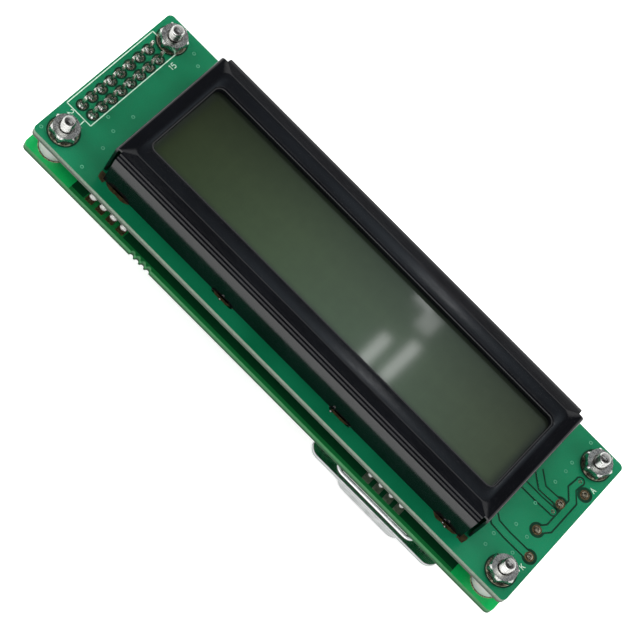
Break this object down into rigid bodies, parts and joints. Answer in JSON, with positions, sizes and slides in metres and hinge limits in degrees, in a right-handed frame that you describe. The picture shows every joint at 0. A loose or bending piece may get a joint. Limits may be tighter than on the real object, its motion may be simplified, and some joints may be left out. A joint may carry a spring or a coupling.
{
  "type": "character lcd module",
  "caption": "Character LCD display board with black stamped bezel, carrying a serial interface board behind it on screws, spacers and a pin header.",
  "frame": {"origin": "centre of the four fixing studs, on the plane of the front faces of their nuts", "axes": "+X along the module's length, from the interboard header towards the lamp pads; +Y across it, away from the long edge that the serial connector is nearest to; +Z out of the display, towards the viewer"},
  "size_m": [0.1164, 0.037, 0.0283],
  "materials": {
    "display_board_laminate": "glossy green solder mask",
    "rear_board_laminate": "glossy green solder mask",
    "black_sheet": "gloss black enamel",
    "polarizer_film": "satin film",
    "display_glass": "clear",
    "silicone": "matte",
    "diffuser_plastic": "milky",
    "lamp_board": "white coated laminate",
    "lamp_resin": "clear tinted resin",
    "black_epoxy": "gloss black epoxy",
    "black_moulding": "matte glass-filled moulding",
    "tinned_pin": "bright tin",
    "solder": "bright solder",
    "zinc_steel": "bright zinc",
    "nylon": "translucent nylon",
    "tinned_shell": "tinned steel",
    "gold_contact": "gold flashed",
    "chip_package": "fine matte moulding",
    "tinned_lead": "satin tin",
    "can_metal": "satin",
    "crystal_can": "satin nickel",
    "resistor_body": "glazed ceramic",
    "ceramic_body": "tan ceramic"
  },
  "bodies": {
    "root": {"front_board": "display_board_laminate", "bezel": "black_sheet", "front_polarizer": "polarizer_film", "front_glass": "display_glass", "rear_glass": "display_glass", "rear_polarizer": "polarizer_film", "contact_strip_near": "silicone", "contact_strip_far": "silicone", "backlight_diffuser": "diffuser_plastic", "backlight_board": "lamp_board", "backlight_lamps": "lamp_resin", "display_drivers": "black_epoxy", "header_body": "black_moulding", "header_pins": "tinned_pin", "solder_joints": "solder", "screws": "zinc_steel", "nuts": "zinc_steel", "spacers": "nylon", "rear_board": "rear_board_laminate", "dsub_rear_shell": "tinned_shell", "dsub_front_shell": "tinned_shell", "dsub_insulator": "black_moulding", "dsub_contacts": "gold_contact", "dsub_standoffs": "zinc_steel", "dsub_jackposts": "zinc_steel", "power_header_body": "black_moulding", "power_header_pins": "tinned_pin", "mcu_body": "chip_package", "mcu_pins": "tinned_lead", "line_driver_body": "chip_package", "line_driver_pins": "tinned_lead", "crystal": "crystal_can", "capacitor_cans": "can_metal", "capacitor_bases": "black_moulding", "chip_resistors": "resistor_body", "chip_capacitors": "ceramic_body"}
  },
  "joints": []
}
